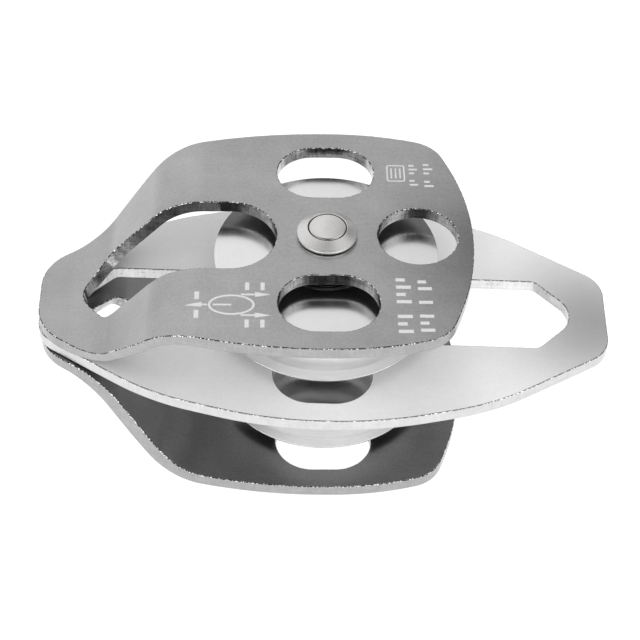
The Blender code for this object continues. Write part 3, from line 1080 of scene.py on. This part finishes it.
def make_sheave(side, up):
    """A polished sheave: rounded rims, a deep round groove, and a bore with a lip."""
    low, high = height_of(f"{side}_sheave")
    half = (high - low) / 2
    radius = radius_of(f"{side}_sheave")
    bearing = radius_of(f"{side}_bearing_outer_ring")
    bearing_low, bearing_high = height_of(f"{side}_bearing_outer_ring")
    seat = (bearing_high - bearing_low) / 2 + CLEARANCE
    bore = bearing + CLEARANCE
    groove_edge = half - RIM_WIDTH
    reach = math.asin(groove_edge / GROOVE_RADIUS)
    groove = []
    for k in range(GROOVE_STEPS + 1):
        angle = math.pi - reach + 2 * reach * k / GROOVE_STEPS
        x = GROOVE_CENTRE + GROOVE_RADIUS * math.cos(angle)
        groove.append((x, GROOVE_RADIUS * math.sin(angle), 0))
    profile = [
        (HUB_LIP_RADIUS, half, EDGE_RADIUS),
        (radius, half, RIM_ROUNDING),
        (radius, groove_edge, SOFT_ROUNDING),
        *groove,
        (radius, -groove_edge, SOFT_ROUNDING),
        (radius, -half, RIM_ROUNDING),
        (bore, -half, EDGE_RADIUS),
        (bore, seat, 0),
        (HUB_LIP_RADIUS, seat, SOFT_ROUNDING),
    ]
    middle = (low + high) / 2
    materials = [SHEAVE_METAL, GROOVE_METAL]
    obj = turned(f"fine_{side}_sheave", profile, materials, z=middle, up=up)
    for face in obj.data.polygons:
        beyond_bore = face.center.xy.length > bore + HUB_MARGIN
        if beyond_bore and abs(face.center.z - middle) < groove_edge:
            face.material_index = materials.index(GROOVE_METAL)
    finish_piece(obj, f"{side}_sheave_unit", f"{side}_sheave")


def race(ball_circle, race_radius, shoulder):
    """The grooved track of a bearing ring, from its low shoulder to its high one."""
    side = 1 if shoulder > ball_circle else -1
    reach = math.acos(abs(shoulder - ball_circle) / race_radius)
    points = []
    for k in range(RACE_STEPS + 1):
        angle = reach * (2 * k / RACE_STEPS - 1)
        radius = ball_circle + side * race_radius * math.cos(angle)
        points.append((radius, race_radius * math.sin(angle), 0))
    return points


def make_bearing_rings(side):
    """The two grooved rings that the balls run between."""
    name = f"{side}_bearing"
    low, high = height_of(f"{name}_outer_ring")
    half = (high - low) / 2
    ball_low, ball_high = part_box(f"{name}_ball_1")
    ball_circle = (ball_low.x + ball_high.x) / 2
    race_radius = (ball_high.z - ball_low.z) / 2 + RACE_MARGIN
    outside = radius_of(f"{name}_outer_ring")
    outer = [
        (outside, half, CHAMFER),
        (outside, -half, CHAMFER),
        (OUTER_SHOULDER, -half, SOFT_ROUNDING),
        *race(ball_circle, race_radius, OUTER_SHOULDER),
        (OUTER_SHOULDER, half, SOFT_ROUNDING),
    ]
    inner = [
        (BEARING_BORE_RADIUS, half, CHAMFER),
        (BEARING_BORE_RADIUS, -half, CHAMFER),
        (INNER_SHOULDER, -half, SOFT_ROUNDING),
        *race(ball_circle, race_radius, INNER_SHOULDER),
        (INNER_SHOULDER, half, SOFT_ROUNDING),
    ]
    middle = (low + high) / 2
    outer_ring = turned(f"fine_{name}_outer_ring", outer, [BEARING_METAL], z=middle)
    finish_piece(outer_ring, f"{side}_sheave_unit", f"{name}_outer_ring")
    inner_ring = turned(f"fine_{name}_inner_ring", inner, [BEARING_METAL], z=middle)
    finish_piece(inner_ring, "frame", f"{name}_inner_ring")


def plain_ring(node, bore, radius, rounding, material):
    """A ring with rounded corners, as tall as the CAD node it stands for."""
    low, high = height_of(node)
    half = (high - low) / 2
    profile = [
        (bore, -half, rounding),
        (radius, -half, rounding),
        (radius, half, rounding),
        (bore, half, rounding),
    ]
    return turned(f"fine_{node}", profile, [material], z=(low + high) / 2)


def make_shields_and_spacers(side):
    """A thin shield over each side of the bearing, and a spacer washer beyond it."""
    shield_bore = INNER_SHOULDER + CLEARANCE
    shield_radius = OUTER_SHOULDER - CLEARANCE
    for end in ("inner", "outer"):
        shield = f"{side}_bearing_{end}_shield"
        obj = plain_ring(shield, shield_bore, shield_radius, RIM_ROUNDING, SHIELD_METAL)
        finish_piece(obj, f"{side}_sheave_unit", shield)
        spacer = f"{side}_{end}_spacer"
        radius = radius_of(spacer)
        obj = plain_ring(spacer, BEARING_BORE_RADIUS, radius, CHAMFER, AXLE_METAL)
        finish_piece(obj, "frame", spacer)


def make_balls(side):
    """Seven steel balls, and the CAD's own cage in brass."""
    for i in range(BALL_COUNT):
        node = f"{side}_bearing_ball_{i + 1}"
        low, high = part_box(node)
        bm = bmesh.new()
        place = Matrix.Translation((low + high) / 2)
        radius = (high.z - low.z) / 2
        bmesh.ops.create_icosphere(
            bm, subdivisions=BALL_SUBDIVISIONS, radius=radius, matrix=place
        )
        ball = smooth_piece(f"fine_{node}", bm, [BEARING_METAL], sharp_angle=180.0)
        finish_piece(ball, f"{side}_ball_set", node)
    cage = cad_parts[f"{side}_bearing_cage"].data
    cage.materials.clear()
    cage.materials.append(BRASS)


# The studio

def make_floor():
    """A wide pale floor, with a glow that keeps it even."""
    bm = bmesh.new()
    bmesh.ops.create_grid(bm, x_segments=1, y_segments=1, size=FLOOR_SIZE)
    mesh = bpy.data.meshes.new("floor")
    bm.to_mesh(mesh)
    bm.free()
    floor = bpy.data.objects.new("floor", mesh)
    bpy.context.scene.collection.objects.link(floor)
    material, shader = metal("pale_floor", metallic=0.0)
    mottle = noise(material, object_point(material), FLOOR_MOTTLE)
    connect(material, greys(material, mottle, grey(0.20), grey(0.22)), shader, "Base Color")
    shader.inputs["Roughness"].default_value = 0.9
    shader.inputs["Specular IOR Level"].default_value = 0.1
    shader.inputs["Emission Color"].default_value = (1.0, 1.0, 1.0, 1.0)
    shader.inputs["Emission Strength"].default_value = FLOOR_GLOW
    mesh.materials.append(material)


def sky_direction(azimuth, elevation):
    a, e = math.radians(azimuth), math.radians(elevation)
    return Vector((math.sin(a) * math.cos(e), math.cos(a) * math.cos(e), math.sin(e)))


def make_softbox(name, azimuth, elevation, distance, width, height, level, reflected):
    """A soft panel aimed at the block, as bright as its level. Unless it is reflected, it
    only brightens what scatters light."""
    light = bpy.data.lights.new(name, "AREA")
    light.shape = "RECTANGLE"
    light.size = width
    light.size_y = height
    light.energy = level * math.pi * width * height
    lamp = bpy.data.objects.new(name, light)
    direction = sky_direction(azimuth, elevation)
    lamp.location = direction * distance + Vector((0, 0, MID_Z))
    lamp.rotation_euler = direction.to_track_quat("Z", "Y").to_euler()
    lamp.visible_camera = False
    lamp.visible_glossy = reflected
    bpy.context.scene.collection.objects.link(lamp)


def world_lobe(world, direction, azimuth, elevation, width, level):
    """Light from one part of the sky, fading smoothly to nothing at its width in degrees."""
    middle = sky_direction(azimuth, elevation)
    nearness = add_node(
        world, "ShaderNodeVectorMath", {0: direction, 1: middle}, operation="DOT_PRODUCT"
    ).outputs["Value"]
    inputs = {
        "Value": nearness,
        "From Min": math.cos(math.radians(width)),
        "From Max": 1.0,
        "To Min": 0.0,
        "To Max": level,
    }
    return add_node(
        world, "ShaderNodeMapRange", inputs, interpolation_type="SMOOTHSTEP"
    ).outputs["Result"]


def make_world():
    """A dim room with a few broad soft lights in it."""
    world = bpy.data.worlds.new("studio")
    world.use_nodes = True
    direction = add_node(world, "ShaderNodeTexCoord").outputs["Generated"]
    level = WORLD_LEVEL
    for lobe in WORLD_LOBES:
        light = world_lobe(world, direction, *lobe)
        level = add_node(world, "ShaderNodeMath", {0: level, 1: light}).outputs["Value"]
    background = world.node_tree.nodes["Background"]
    background.inputs["Color"].default_value = (1.0, 1.0, 1.0, 1.0)
    world.node_tree.links.new(level, background.inputs["Strength"])
    bpy.context.scene.world = world


def make_camera():
    """A camera on the front side, slightly rolled, aimed at the block's middle."""
    a, e, roll = CAMERA_AZIMUTH, CAMERA_ELEVATION, CAMERA_ROLL
    back = Vector((math.sin(a) * math.cos(e), -math.cos(a) * math.cos(e), math.sin(e)))
    right = (-back).cross(Vector((0, 0, 1))).normalized()
    up = right.cross(-back)
    right, up = (
        right * math.cos(roll) + up * math.sin(roll),
        up * math.cos(roll) - right * math.sin(roll),
    )
    data = bpy.data.cameras.new("camera")
    data.lens = CAMERA_LENS
    data.sensor_width = SENSOR_WIDTH
    data.clip_start = 0.01
    camera = bpy.data.objects.new("camera", data)
    turn = Matrix((right, up, back)).transposed().to_4x4()
    place = Vector(CAMERA_TARGET) + back * CAMERA_DISTANCE
    camera.matrix_world = Matrix.Translation(place) @ turn
    bpy.context.scene.collection.objects.link(camera)
    bpy.context.scene.camera = camera


make_centre_plate()
make_axle()
for side, up in (("upper", 1), ("lower", -1)):
    make_side_plate(side, up)
    make_collar(side, up)
    make_sheave(side, up)
    make_bearing_rings(side)
    make_shields_and_spacers(side)
    make_balls(side)

make_floor()
make_world()
for softbox in SOFTBOXES:
    make_softbox(*softbox)
make_camera()
bpy.context.scene.view_settings.view_transform = "Standard"
